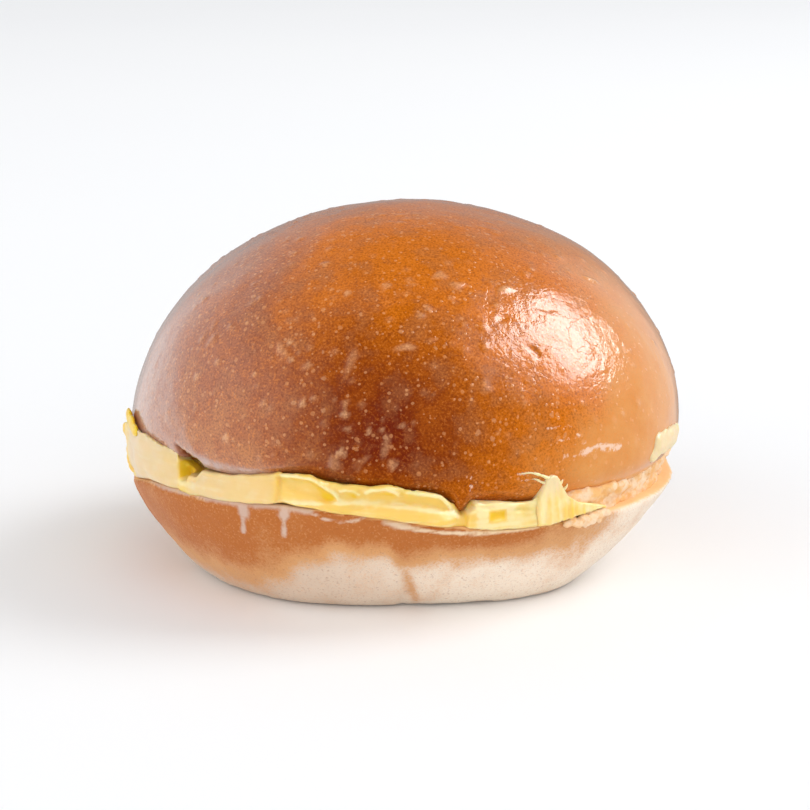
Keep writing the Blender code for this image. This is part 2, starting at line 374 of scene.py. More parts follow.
# %% [markdown]
# ### The crown's torn and sagging lower edge
# The lower edge isn't level. It sags onto the butter in front, and at the left it has torn away in a
# small notch that lies in its own shade. The notch is painted dark brown too, which is painted shade.
# Both are given by angle round the bun.

# %% Sags and the notch
crown_points = points_of(crown)
crown_normals = normals_of(crown)
crown_angle = angle_of(crown_points)
from_middle = crown_points - MIDDLE
crown_lift = np.degrees(np.arcsin(from_middle[:, 2] / np.linalg.norm(from_middle, axis=1)))
# the sag in mm at a few angles; it fades out above the rim, and inwards from it
SAGS = (
    (0, 0), (208, 0), (217, 0.4), (222, 1), (231, 1.5), (236, 1.1), (241, 0.5), (245, 0), (250, 0.1),
    (256, 1.2), (262, 1.4), (268, 1), (276, 0.8), (279.4, 1.3), (282.4, 3.3), (285.2, 1), (290, 0.6),
    (302, 0.6), (316, 0),
)
SAG_BELOW, SAG_OVER, RIM_FROM, RIM_OVER = 31.5, 4.5, 43, 3
sag = round_the_bun(crown_angle, SAGS) * soft_step((SAG_BELOW - crown_points[:, 2] / MM) / SAG_OVER)
sag = sag * soft_step((reach_of(crown_points) - RIM_FROM) / RIM_OVER)
crown_points[:, 2] -= sag * MM
crown_height = crown_points[:, 2] / MM
# the notch: its two ends in degrees, the height of its top in mm, how that falls a degree, and its depth
NOTCH_FROM, NOTCH_TO, NOTCH_TOP, NOTCH_FALL, NOTCH_DEPTH = 217.8, 225.4, 29.26, 0.3, 1.6
notch_top = NOTCH_TOP - NOTCH_FALL * (crown_angle - NOTCH_FROM)
shaded_notch = soft_step((crown_angle - NOTCH_FROM) / 0.8) * soft_step((NOTCH_TO - crown_angle) / 1.2)
shaded_notch = shaded_notch * soft_step((notch_top - crown_height) / 0.6 + 0.5)
crown_points -= outward_of(crown_points) * (shaded_notch * NOTCH_DEPTH * MM)[:, None]
place(crown, crown_points)
# the notch is painted dark brown: painted shade
paint_on(crown, "shaded_notch", shaded_notch)
print("lowest sag in mm:", round(float(sag.max()), 2))

# %% [markdown]
# ### How brown the crust is, and where shade is painted
# Browning isn't even. The front below the shoulder faced the oven's heat and is a deep red brown, the
# upper part is orange and the far side stays paler. The left side lies in shade, and it is also painted
# darker and greyer: that is painted shade. A number per vertex for each of them, worked out from where
# it is, lets the material follow that. The cut face under the rim isn't crust at all but crumb, and
# another number marks it.

# %% Browning, and painted shade on the left
# how brown at the most browned lift, and how many degrees above it that browning reaches
MOST_BROWN = (
    (0, 0.1), (60, 0.5), (120, 0.6), (180, 0.4), (212, 0.2), (228, 0.26), (238, 0.36), (248, 0.75),
    (258, 0.95), (268, 1), (278, 0.8), (288, 0.42), (299, 0.12), (310, 0), (325, 0),
)
BROWN_REACH = ((0, 26), (90, 30), (180, 26), (240, 30), (257, 30), (268, 24), (279, 26), (300, 26))
# how strong the painted shade is on the left side, which lies in shade, and how pale the skin is by the cut
# and how high that reaches
LEFT_SHADE = ((0, 0), (100, 0.1), (170, 0.5), (205, 0.95), (240, 0.9), (250, 0.45), (259, 0.1), (268, 0))
PALE_SKIN = (
    (0, 0.95), (60, 0.5), (150, 0.2), (212, 0.22), (227, 0.2), (238, 0.2), (249, 0.08), (258, 0), (288, 0),
    (301, 0.4), (312, 0.95), (325, 0.9), (337, 1),
)
PALE_REACH = ((0, 48), (90, 24), (225, 12), (301, 6), (312, 10), (325, 30), (337, 42))
MOST_BROWN_LIFT, PALE_LIFT = 6, -2
LIGHTER_AT_CUT, LEFT_SHADE_LEAN, LEFT_SHADE_FADE = 0.3, 0.5, 0.7


def fading_up(lift, reach):
    """1 up to this lift, and fading above it over a reach given round the bun, both in degrees."""
    over = np.maximum(crown_lift - lift, 0) / round_the_bun(crown_angle, reach)
    return np.exp(-(over**2))


browning = round_the_bun(crown_angle, MOST_BROWN) * fading_up(MOST_BROWN_LIFT, BROWN_REACH)
paint_on(crown, "browning", browning * (1 - LIGHTER_AT_CUT * soft_step((2 - crown_lift) / 6)))
paint_on(crown, "pale", round_the_bun(crown_angle, PALE_SKIN) * fading_up(PALE_LIFT, PALE_REACH))
# the painted shade leans back and fades out towards the top
painted_left_shade = round_the_bun(crown_angle + LEFT_SHADE_LEAN * np.maximum(crown_lift - 12, 0), LEFT_SHADE)
paint_on(crown, "painted_left_shade", painted_left_shade * (1 - LEFT_SHADE_FADE * soft_step((crown_lift - 36) / 34)))
# crumb is what faces down and lies inside the rim
crumb_face = soft_step((-crown_normals[:, 2] - 0.75) / 0.15)
paint_on(crown, "crumb", crumb_face * soft_step((46 - reach_of(crown_points)) / 1.5))

# %% Wrinkles, and a film that is partly a painted reflection
# where the egg wash has shrunk into fine wrinkles as it dried: angle round the bun, lift, reach in degrees
WRINKLED = ((305, 28, 15), (318, 20, 12), (297, 19, 7), (40, 50, 20), (110, 35, 22), (170, 60, 18))
paint_on(crown, "wrinkled", np.max([patch(*row, 1.4) for row in WRINKLED], axis=0))
# a greyish film: butter fat low by the cut, and a painted pale reflection higher up the left side; how
# strong it is round the bun, and the height in mm that it reaches
FILM_AND_REFLECTION = (
    (0, 0), (170, 0), (192, 0.35), (204, 0.45), (212, 0.36), (220, 0.3), (227, 0.7), (240, 0.7), (245, 0),
    (300, 0),
)
FILM_AND_REFLECTION_TOP = (
    (0, 30), (190, 48), (204, 48), (213, 43), (220, 34), (225, 28.6), (232, 27.8), (242, 27.8), (250, 27),
)
# its upper edge is crisp where it is low, and softer the higher it reaches
FILM_AND_REFLECTION_EDGE, FILM_AND_REFLECTION_SOFTER, FILM_AND_REFLECTION_LOW = 0.6, 0.8, 28
film_and_reflection_top = round_the_bun(crown_angle, FILM_AND_REFLECTION_TOP)
film_and_reflection_edge = FILM_AND_REFLECTION_EDGE + FILM_AND_REFLECTION_SOFTER * np.maximum(film_and_reflection_top - FILM_AND_REFLECTION_LOW, 0)
film_and_reflection = round_the_bun(crown_angle, FILM_AND_REFLECTION) * soft_step((film_and_reflection_top - crown_height) / film_and_reflection_edge + 0.5)
paint_on(crown, "film_and_reflection", film_and_reflection * (1 - shaded_notch))

# %% [markdown]
# ## The heel
# The heel is the lower half. It is only browned near the cut and stays pale and floury below, where it
# sat against its neighbours and the tray. Its skin is softer than the crown's, so its unevenness is
# broader, with low folds.

# %% The heel's skin
HEEL_VOXEL = 0.6 * MM
heel = copy_of("heel", "heel_crust")
rounded_and_even(heel, 2, HEEL_VOXEL)
uneven(heel, "heel swells", 17, 1, 0.9)
uneven(heel, "heel skin", 3.2, 2, 0.3)
heel_points = points_of(heel)
heel_points[:, 2] = np.maximum(heel_points[:, 2], 0.0)
place(heel, heel_points)

# %% [markdown]
# ### Tanned above, floury below, with a pinched seam
# The brown of the heel fades downwards, sooner at some angles than at others. In front the dough was
# pinched together, which leaves a narrow seam that is tanned all the way down. Butter that has melted has
# run down from the cut and dried as a milky glaze.

# %% How far down the heel is browned
# height in mm at which the browned upper skin has half faded, over how many mm it fades, how brown it is
HALF_FADED = (
    (0, 13), (60, 13), (120, 12), (180, 6), (213, 5), (230, 6.5), (241, 8.5), (249, 12), (258, 14.4),
    (266, 14), (270, 11), (274, 12.4), (280, 12.9), (291, 12.9), (298, 12.6), (304, 12), (311, 11.5),
    (325, 12),
)
FADES_OVER = (
    (0, 14), (120, 14), (213, 15), (230, 15), (241, 14), (249, 12), (258, 9), (280, 9), (291, 8.5),
    (298, 11), (311, 13), (330, 14),
)
HEEL_BROWN = (
    (0, 0.2), (90, 0.8), (180, 0.9), (213, 0.95), (228, 1.05), (290, 1.05), (297, 0.95), (304, 0.75),
    (312, 0.58), (322, 0.2), (336, 0.05),
)
# how pale and floury the skin is round the bun: partly flour, partly painted light, paler on the lit right
# and front and darker on the shaded left
FLOURY_AND_PAINTED_LIGHT = (
    (0, 0.8), (90, 0.5), (180, 0.3), (225, 0), (250, 0.15), (262, 0.35), (275, 0.7), (290, 0.9), (330, 0.9),
)
# the seam's angle at the bottom, its lean in degrees per mm, its half width, its depth in mm, its tan
SEAM_FOOT, SEAM_LEAN, SEAM_WIDTH, SEAM_DEPTH, SEAM_TAN = 274.2, -0.36, 1.5, 0.4, 0.32
heel_angle, heel_height = angle_of(heel_points), heel_points[:, 2] / MM
over_pale = heel_height - round_the_bun(heel_angle, HALF_FADED)
heel_brown = soft_step(over_pale / round_the_bun(heel_angle, FADES_OVER) + 0.5)
heel_brown = heel_brown * round_the_bun(heel_angle, HEEL_BROWN)
# it wavers as it goes down, and ends at the bottom and under the brown
wobble = 1.2 * np.array([noise.noise((0, 0, h / 3)) for h in heel_height])
seam_gap = (heel_angle - SEAM_FOOT - SEAM_LEAN * heel_height + wobble) / SEAM_WIDTH
seam = np.exp(-(seam_gap**2)) * soft_step((14 - heel_height) / 4) * soft_step((heel_height + 1) / 3)
push(heel, -SEAM_DEPTH * MM * seam)
paint_on(heel, "browning", np.maximum(heel_brown, SEAM_TAN * seam))
# paler on the lit side: partly flour, partly painted light
paint_on(heel, "floury_and_painted_light", round_the_bun(heel_angle, FLOURY_AND_PAINTED_LIGHT))
on_top = soft_step((normals_of(heel)[:, 2] - 0.6) / 0.25) * soft_step((heel_height - 15) / 2)
paint_on(heel, "crumb", on_top)

# %% Butter that has melted and run
# lines of (angle, height), half width in mm and strength
GLAZE = (
    (((236.7, 22), (236.4, 19.6)), 1.3, 1), (((236.4, 20.2), (236, 18), (235.6, 16)), 0.55, 0.95),
    (((246, 22), (245.7, 20.2)), 1.1, 1), (((245.7, 20.6), (245.4, 18.4), (245, 16.2)), 0.5, 0.95),
    (((224, 21.2), (234, 21.3), (244, 21.8), (251, 21.4)), 0.8, 0.9),
    (((251.8, 20.9), (254, 20.1), (257.4, 19.7), (260.2, 19.9), (262.8, 20.8)), 0.35, 0.85),
    (((266.8, 20), (268.9, 19.5), (270.8, 19.8)), 0.9, 0.9),
    (((268, 19.4), (272, 18.7), (278, 17.9), (286, 17.4), (293, 17.4), (299, 17.5)), 0.45, 1),
    (((198, 20.4), (210, 20.2), (222, 20.8)), 0.5, 0.8),
)
paint_on(heel, "glaze", near_lines(unrolled(heel_points), GLAZE))

# %% [markdown]
# ## The butter
# The butter shows as a thick band that a knife has pushed over the edges. Inside it is a plain slab. The
# slab and the worked edge are made as two pieces: the slab can stay coarse, and the edge gets a very
# fine mesh, because it carries the knife's sharp folds. The edge is a ring: from a second copy the faces
# near the middle are deleted, and the two open loops are bridged, so that the skin is closed again.

# %% The slab between the halves
butter_heart = copy_of("butter", "butter_heart")
finish_with(butter_heart, "SUBSURF", levels=1, render_levels=1)
HEART_WIDE, HEART_TALL = 0.93, 0.97
with editing(butter_heart):
    bpy.ops.transform.resize(value=(HEART_WIDE, HEART_WIDE, HEART_TALL))
print("the slab has", len(butter_heart.data.polygons), "faces")


# %% The worked edge as a closed ring
def rim_of(points, step):
    """Which bin of so many degrees each point is in, and the largest reach in mm in each bin."""
    count = 360 // step
    bins = (angle_of(points) / step).astype(int) % count
    reach = reach_of(points)
    return bins, np.array([reach[bins == b].max() for b in range(count)])


RING_SHARE, RING_STEP = 0.84, 5
butter = copy_of("butter", "butter_edge")
finish_with(butter, "SUBSURF", levels=1, render_levels=1)
ring_points = points_of(butter)
bins, rim_reach = rim_of(ring_points, RING_STEP)
inner = reach_of(ring_points) < RING_SHARE * rim_reach[bins]
butter.data.vertices.foreach_set("select", inner)
take(butter)
for polygon in butter.data.polygons:
    polygon.select = any(inner[v] for v in polygon.vertices)
bpy.ops.object.mode_set(mode="EDIT")
bpy.ops.mesh.select_mode(type="FACE")
bpy.ops.mesh.delete(type="FACE")
bpy.ops.mesh.select_mode(type="EDGE")
bpy.ops.mesh.select_all(action="DESELECT")
bpy.ops.mesh.select_non_manifold()
bpy.ops.mesh.bridge_edge_loops()
bpy.ops.mesh.select_all(action="SELECT")
bpy.ops.mesh.normals_make_consistent(inside=False)
bpy.ops.object.mode_set(mode="OBJECT")
BUTTER_VOXEL = 0.306 * MM
rounded_and_even(butter, 1, BUTTER_VOXEL)

# %% [markdown]
# ### Folds and petals that the knife left
# A knife that turns at the end of a stroke leaves a fold: steep on its outer side and sliding off softly
# behind. Each fold is a line along the edge, given by angle round the bun and height. A vertex near the
# line is pushed out by how near it is, with a short slope on the line's left side and a long one on its
# right side, so the direction of a line decides which side is crisp. A petal is a whole sheet with a thin
# lip along its line and a cupped hollow inside it.


# %% Folds, petals and slabs
def fading_ends(along, over, start):
    """1 along a line and less towards its two ends, over this share of its length."""
    return soft_step(along / over + start) * soft_step((1 - along) / over + start)


def fold(places, line, rise, crisp, soft):
    """A fold's push, with a crisp side and a soft side, and how near its crest each place is."""
    gap, along = beside_line(places, line)
    shape = np.where(gap > 0, np.exp(-((gap / crisp) ** 2)), np.exp(-((gap / soft) ** 2)))
    ends = fading_ends(along, 0.18, 0.25)
    crest = np.exp(-((gap / 0.45) ** 2)) * ends
    return rise * shape * ends, crest * min(rise, 0.5)


def petal(places, line, rise, soft, cup):
    """A sheet with a lip along a line: crisp beyond the lip, cupped inside it; also its rim and hollow."""
    gap, along = beside_line(places, line)
    ends = fading_ends(along, 0.1, 0.2)
    sheet = np.where(gap > 0, np.exp(-((gap / 0.25) ** 2)), np.exp(np.minimum(gap, 0) / soft)) * ends
    rim = np.exp(-(((gap + 0.15) / 0.32) ** 2)) * ends
    hollow = cup * np.exp(-(((gap + 0.55 * soft) / (0.35 * soft)) ** 2))
    hollow = hollow * soft_step(along * 1.3 - 0.15) * soft_step((1 - along) / 0.1 + 0.2)
    return rise * (sheet + 0.25 * rim) - 0.4 * hollow, rim, hollow


def inside(places, corners, edge):
    """1 within an outline and 0 outside, across an edge this wide in mm. Corners run anticlockwise."""
    outline = np.array([(angle * ARC, height) for angle, height in corners], float)
    depth = np.full(len(places), 1e9)
    for start, end in zip(outline, np.roll(outline, -1, axis=0)):
        step = (end - start) / np.linalg.norm(end - start)
        off = places - start
        depth = np.minimum(depth, step[0] * off[:, 1] - step[1] * off[:, 0])
    return soft_step(depth / edge + 0.5)


def streaks(places, along, across, seed):
    """Noise between about -0.5 and 0.5 that is stretched along the edge: both sizes in mm."""
    return np.array([noise.noise((a / along, h / across, seed)) for a, h in places])


# %% [markdown]
# ### Slabs, hollows and folds
# Butter comes off a knife in slabs. A slab is a patch of the edge that stands proud of the rest, and
# where the knife dug in there is a hollow instead. Hollows look deeper yellow, because light goes
# further through the butter before it comes back, and thin ridges look nearly white. So the depth of
# the yellow is painted together with the shape: the deeper yellow in hollows is painted shade, and the
# near-white on crests is a painted highlight. The blade also leaves fine streaks along its way,
# which come from a noise that is stretched round the bun.

# %% The knife's work
# corners as (angle, height in mm), then push and edge width in mm, then how much deeper the yellow is
# painted, deeper in pushed-in hollows as painted shade
SLABS = (
    (((217.8, 23), (220.6, 24), (223.6, 25.2), (223.8, 33), (217.8, 33)), -2, 0.35, 0.62),
    (((280.8, 23), (282.5, 20.6), (285, 22.6), (285, 30), (280.8, 30)), -2.6, 0.5, 0.3),
    (((283.2, 12), (298.6, 12), (298.4, 28), (286.4, 28), (283.4, 23)), 0.4, 0.3, -0.3),
    (((283, 18.8), (285, 18.8), (285.2, 21.4), (283, 21)), -0.2, 1, 0.35),
    (((287.8, 19.7), (291.3, 19.8), (291.3, 21.5), (287.8, 21.4)), -0.35, 0.7, 0.8),
    (((299.5, 12), (320, 12), (316, 24), (308, 31), (299.5, 31)), -2.2, 0.8, 0),
)
# line as (angle, height in mm), then rise, crisp slope and soft slope in mm
FOLDS = (
    (
        (
            (245, 22.7), (254, 23.2), (259.5, 23.4), (264.5, 23.2), (269.7, 23), (275.9, 22.2), (281.3, 21),
            (282.7, 20),
        ),
        0.7, 0.3, 3,
    ),
    (((205, 22.4), (214, 22), (224, 22.6), (234, 23.2)), 0.2, 0.4, 1.5),
    (((268, 20.6), (276, 19.7), (281.6, 19)), 0.2, 0.35, 1),
    (((284.6, 22.2), (290, 21.9), (294, 22.2)), 0.15, 0.4, 1),
)
# the lip of a petal, then its rise and how far it takes to slide off, in mm, and how deeply it is cupped
PETALS = (
    (
        ((244.6, 27.6), (249.1, 28), (252.5, 28), (254.4, 27.4), (255.6, 26.4), (257, 25.3), (257.9, 23.6)),
        0.9, 3, 0.9,
    ),
    (((257.6, 25.8), (259.2, 26.1), (260.8, 25.7), (261.8, 24.8)), 0.5, 1.6, 0.6),
    (((262.4, 25.2), (264.1, 26.2), (266.8, 26.4), (268.6, 25.8), (269.8, 24.8)), 0.55, 1.6, 0.4),
    (
        (
            (270.4, 25.5), (272, 25.4), (275, 25.2), (277.6, 24.8), (278.8, 23.9), (280.1, 22.5),
            (281.1, 21.3), (282.2, 20.2),
        ),
        0.6, 2.2, 0.15,
    ),
)
PLAIN_YELLOW = 0.46
STROKE_PUSH, BROAD_PUSH, STROKE_YELLOW = 0.16, 0.35, 0.25


def knife_work(places):
    """The push in mm and the depth of yellow that slabs, folds, petals and streaks give at these places."""
    push_out, deep = np.zeros(len(places)), np.full(len(places), PLAIN_YELLOW)
    for corners, lift, edge, yellow in SLABS:
        shape = inside(places, corners, edge)
        push_out, deep = push_out + shape * lift, deep + shape * yellow
    for line, rise, crisp, soft in FOLDS:
        lift, crest = fold(places, line, rise, crisp, soft)
        # crests are painted paler: a painted highlight
        push_out, deep = push_out + lift, deep - 0.8 * crest
    for line, rise, soft, cup in PETALS:
        lift, rim, hollow = petal(places, line, rise, soft, cup)
        # hollows painted deeper yellow as painted shade, lips paler as a painted highlight
        push_out, deep = push_out + lift, deep + 0.7 * hollow - 0.5 * rim
    stroke, broad = streaks(places, 9.0, 0.55, 0.0), streaks(places, 3.0, 2.0, 7.0)
    return push_out + STROKE_PUSH * stroke + BROAD_PUSH * broad, deep + STROKE_YELLOW * stroke


# %% The uneven top of the edge
RIM_STEP = 3
butter_points = points_of(butter)
butter_angle, butter_reach = angle_of(butter_points), reach_of(butter_points)
butter_outward, butter_height = outward_of(butter_points), butter_points[:, 2] / MM
_, rim_reach = rim_of(butter_points, RIM_STEP)
bin_middles = (np.arange(len(rim_reach)) + 0.5) * RIM_STEP
smooth_reach = np.interp(butter_angle, bin_middles, rim_reach, period=360)
# how far the top of the edge is raised or lowered at a few angles, in mm, and over which heights that grows
TOP_SHIFT = (
    (0, 0.5), (179, 0.5), (186, 1.8), (196, 2.2), (201, 1), (205, 0.3), (212, -0.5), (216.8, 0.3),
    (218.2, -1.6), (219.6, -3), (223, -3), (225, -1.6), (232, -1.5), (237, -0.9), (242, -0.2), (245, 0.5),
    (249, 0.3), (252, -0.1), (254, -0.8), (256, -1.4), (258, -1.6), (260.5, -1.2), (262, -1.1), (268, -0.4),
    (272, -0.1), (277.5, -0.3), (280, -1.2), (282.6, -3.2), (285.2, -0.3), (299, 0.1), (320, 0.5),
)
SHIFT_FROM, SHIFT_OVER = 20, 5
grown = soft_step((butter_height - SHIFT_FROM) / SHIFT_OVER)
butter_points[:, 2] += round_the_bun(butter_angle, TOP_SHIFT) * grown * MM
# behind the lips the top drops by so many mm, so that they stand free
BEHIND_LIPS = ((0, 0), (242, 0), (245.5, 1.4), (279, 1.4), (283, 0.4), (298, 0.4), (302, 0))
LIP_THICK, LIP_FROM = 0.8, 22
far_in = soft_step((smooth_reach - butter_reach - LIP_THICK) / 1.2)
far_in = far_in * soft_step((butter_height - LIP_FROM) / 3)
butter_points[:, 2] -= round_the_bun(butter_angle, BEHIND_LIPS) * far_in * MM

# %% [markdown]
# ### Flat passes of the blade
# Where the blade was drawn along the edge it left the butter flat and upright. There the reach from the
# bun's axis is given outright, and each vertex is moved to it. On one side the butter stops short of the
# edge. The whole skin swells a little too, and a second remesh evens out the faces that were stretched.

# %% Pressing the knife's work in
# corners, edge width in mm, the reach in mm that it leaves at a few heights, and from which angle it
# turns in by how many mm a degree
PASSES = (
    (
        ((186, 12), (217.7, 12), (217.7, 36), (186, 36)), 0.4,
        ((18, 50.4), (21, 51.8), (25, 52.1), (31, 51.4)), 204, 0.15,
    ),
    (
        ((217.7, 12), (224.4, 12), (224.4, 25), (221, 23.8), (217.7, 22.2)), 0.5,
        ((20, 50.3), (23, 49.9), (26, 49.4)), 360, 0,
    ),
    (
        ((224.4, 12), (244.5, 12), (244.5, 32), (224.4, 32)), 0.5, ((20, 50.2), (23, 49.9), (26, 49.4)),
        360, 0,
    ),
    (
        ((283.4, 12), (298.8, 12), (298.6, 30), (283.6, 30)), 0.4, ((17, 48.9), (20, 48.8), (23, 48.5)),
        360, 0,
    ),
)
PASS_STRENGTH, PASS_REACH = 0.95, 43.5
BARE_FROM, BARE_TO, BARE_DEPTH = 313, 372, 3.4
SPREAD, OUTER_DEPTH = 0.35, 4
edge_place = unrolled(butter_points)
butter_push, _ = knife_work(edge_place)
# a pass moves only what stands upright and lies far enough out
upright = 1 - soft_step((np.abs(normals_of(butter)[:, 2]) - 0.75) / 0.2)
upright *= soft_step((butter_reach - PASS_REACH) / 1.5)
pass_push = np.zeros(len(butter_points))
for corners, edge, stations, turn_from, turn in PASSES:
    wanted = np.interp(edge_place[:, 1], *zip(*stations)) - turn * np.maximum(butter_angle - turn_from, 0)
    pass_push += inside(edge_place, corners, edge) * upright * PASS_STRENGTH * (wanted - butter_reach)
past_front = (butter_angle - 180) % 360 + 180
bare = soft_step((past_front - BARE_FROM) / 4) * soft_step((BARE_TO - past_front) / 8)
butter_push = butter_push * (1 - bare) - BARE_DEPTH * bare
outer_side = soft_step((butter_reach - smooth_reach + OUTER_DEPTH) / 1.5)
worked_push = (outer_side * butter_push + pass_push)[:, None]
place(butter, butter_points + (normals_of(butter) * SPREAD + butter_outward * worked_push) * MM)
print("highest push in mm:", round(float(butter_push.max()), 2))

# %% An even mesh again, and how deep the yellow is
# how milky the butter is at a few angles: greyer where smeared thin, and darker on the left side as painted
# shade
MILKY_AND_SHADE = ((0, 0), (190, 0), (198, 0.8), (208, 0.65), (217, 0.5), (218, 0), (224, 0.5), (243, 0.35), (245, 0))
remesh(butter, BUTTER_VOXEL)
butter_points = points_of(butter)
_, deep_yellow = knife_work(unrolled(butter_points))
# the painted depth of yellow: painted shade in hollows, a painted highlight on crests
paint_on(butter, "deep", deep_yellow)
paint_on(butter, "milky_and_shade", round_the_bun(angle_of(butter_points), MILKY_AND_SHADE))
paint_on(butter_heart, "deep", 0.4)

# %% [markdown]
# ### The peak where the knife lifted off
# At the end of its last stroke the knife was lifted off, and pulled the butter up into a peak with thin
# wisps. The peak is a flat slab on the edge: its outline is drawn in angle and height as a filled circle
# whose corners are moved to place, and the face is then extruded outwards. A voxel remesh and a little
# smoothing make one soft body of it, and a last push gives it a fold, ribs and its lean.


# %% The peak's body
def on_edge(azimuth, height, reach):
    """A point at this angle round the bun, height in mm and reach from the bun's axis in mm."""
    return (aim(azimuth, 0) * reach + (0, 0, height)) * MM


PEAK = (
    (298.3, 17.9), (303, 18.5), (308, 18.9), (312.5, 18.9), (316.5, 18.6), (315.5, 19.2), (311.6, 20.3),
    (307.4, 21.2), (304.6, 22.8), (303.2, 24.9), (302.4, 26.6), (301.2, 26.9), (300, 26.5), (299.2, 24.6),
    (298.3, 22.6),
)
PEAK_INNER, PEAK_OUTER = 47.6, 51.3
bpy.ops.mesh.primitive_circle_add(vertices=len(PEAK), radius=MM, fill_type="NGON")
peak = bpy.context.object
peak.name = peak.data.name = "butter_peak"
place(peak, np.array([on_edge(azimuth, height, PEAK_INNER) for azimuth, height in PEAK]))
wider = PEAK_OUTER / PEAK_INNER
with editing(peak):
    bpy.ops.mesh.extrude_region_move()
    bpy.ops.transform.resize(value=(wider, wider, 1), center_override=(0, 0, 0))
    bpy.ops.mesh.select_all(action="SELECT")
    bpy.ops.mesh.normals_make_consistent(inside=False)
remesh(peak, 0.26 * MM)
finish_with(peak, "SMOOTH", factor=0.5, iterations=5)

# %% The peak's fold, ribs and lean
PEAK_FOLD = ((299.4, 26.4), (298.8, 18.0))
PEAK_HOLLOW = ((304, 19.0), (308.5, 19.2), (307, 20.6), (304, 21.6))
peak_points = points_of(peak)
peak_angle, peak_height = angle_of(peak_points), peak_points[:, 2] / MM
peak_place = unrolled(peak_points)
peak_pull, peak_crest = fold(peak_place, PEAK_FOLD, 0.4, 0.3, 1.2)
ribs = streaks(peak_place[:, ::-1], 9.0, 0.7, 3.0)
# it leans in towards its top and its right end, and at its left side it joins the slab
lean = 0.12 * np.maximum(peak_height - 21, 0) + 0.08 * np.maximum(peak_angle - 306, 0)
lean = lean + 1.1 * soft_step((300.6 - peak_angle) / 2.4)
place(peak, peak_points + outward_of(peak_points) * ((peak_pull + 0.25 * ribs - lean) * MM)[:, None])
hollow = inside(peak_place, PEAK_HOLLOW, 1.6)
whiter = soft_step((peak_height - 22) / 4)
# the hollow is painted deeper as painted shade, the crest paler as a painted highlight
paint_on(peak, "deep", 0.22 + 0.35 * hollow - 0.8 * peak_crest + 0.25 * ribs - 0.2 * whiter)
paint_on(peak, "milky_and_shade", 0.45 * whiter)

# %% [markdown]
# ### Wisps and smears
# A wisp is a thin strand of butter. It is drawn as a curve with a round bevel: its points are given by
# angle and lift and found on the skin that it lies on, each with its own thickness. Turned into a mesh,
# most of its thickness is sunk in the skin. A smear is thinner still and has no body of its own, so it is
# painted on the crust, and the crust's material breaks its edge up.


# %% Strands that lie on a skin
def skin_of(piece):
    """The points of a piece's outer side, and the directions in which they are seen from the middle."""
    points = points_of(piece)
    aims = points - MIDDLE
    aims /= np.linalg.norm(aims, axis=1)[:, None]
    faces_out = (normals_of(piece) * aims).sum(axis=1) > 0.35
    return points[faces_out], aims[faces_out]


def strand(name, skin, stations):
    """A strand through stations of angle, lift, thickness and height over the skin, both in mm."""
    bpy.ops.curve.primitive_bezier_curve_add(radius=MM)
    piece = bpy.context.object
    piece.name = piece.data.name = name
    piece.data.bevel_depth, piece.data.bevel_resolution = MM, 3
    piece.data.resolution_u = 5
    piece.data.use_fill_caps = True
    spline = piece.data.splines[0]
    spline.bezier_points.add(len(stations) - 2)
    points, aims = skin
    for point, (azimuth, lift, thickness, over) in zip(spline.bezier_points, stations):
        seen = aim(azimuth, lift)
        point.co = points[np.argmax(aims @ seen)] + seen * over * MM
        point.radius = thickness
        point.handle_left_type = point.handle_right_type = "AUTO"
    bpy.ops.object.convert(target="MESH")
    piece = bpy.context.object
    with editing(piece):
        bpy.ops.mesh.remove_doubles(threshold=MERGE_DISTANCE)
        bpy.ops.mesh.normals_make_consistent(inside=False)
    return piece


# %% Several bodies made one
def joined(name, pieces, voxel, softening, size, amount):
    """Joins bodies by a remesh, with an uneven skin: voxel, size and amount are in mm."""
    take(*pieces)
    bpy.ops.object.join()
    piece = bpy.context.object
    piece.name = piece.data.name = name
    remesh(piece, voxel * MM)
    finish_with(piece, "SMOOTH", factor=0.5, iterations=softening)
    uneven(piece, name + " skin", size, 2, amount)
    return piece


WISPS = (
    (
        (301.6, -5, 0.5, 0.1), (300.4, -4, 0.42, 0.25), (298.6, -3.3, 0.26, 0.15),
        (296.7, -2.9, 0.18, 0.05), (294, -3, 0.1, 0),
    ),
    ((300.8, -5.8, 0.45, 0.1), (299.2, -4.9, 0.26, 0.15), (297.2, -4.3, 0.16, 0.05), (295.6, -4.4, 0.1, 0)),
    ((301.8, -5.6, 0.45, 0.2), (302.2, -4.6, 0.3, 0.3), (302.4, -3.8, 0.12, 0.15)),
    ((302.8, -6.2, 0.45, 0.2), (303.3, -5.3, 0.3, 0.3), (303.7, -4.5, 0.12, 0.15)),
    ((304.4, -7.4, 0.4, 0.2), (304.9, -6.6, 0.26, 0.2), (305.3, -6, 0.12, 0.1)),
)
crown_skin = skin_of(crown)
strands = [strand(f"wisp_{i}", crown_skin, stations) for i, stations in enumerate(WISPS)]
wisps = joined("butter_wisps", strands, 0.15, 2, 1.2, 0.25)
paint_on(wisps, "deep", 0.0)

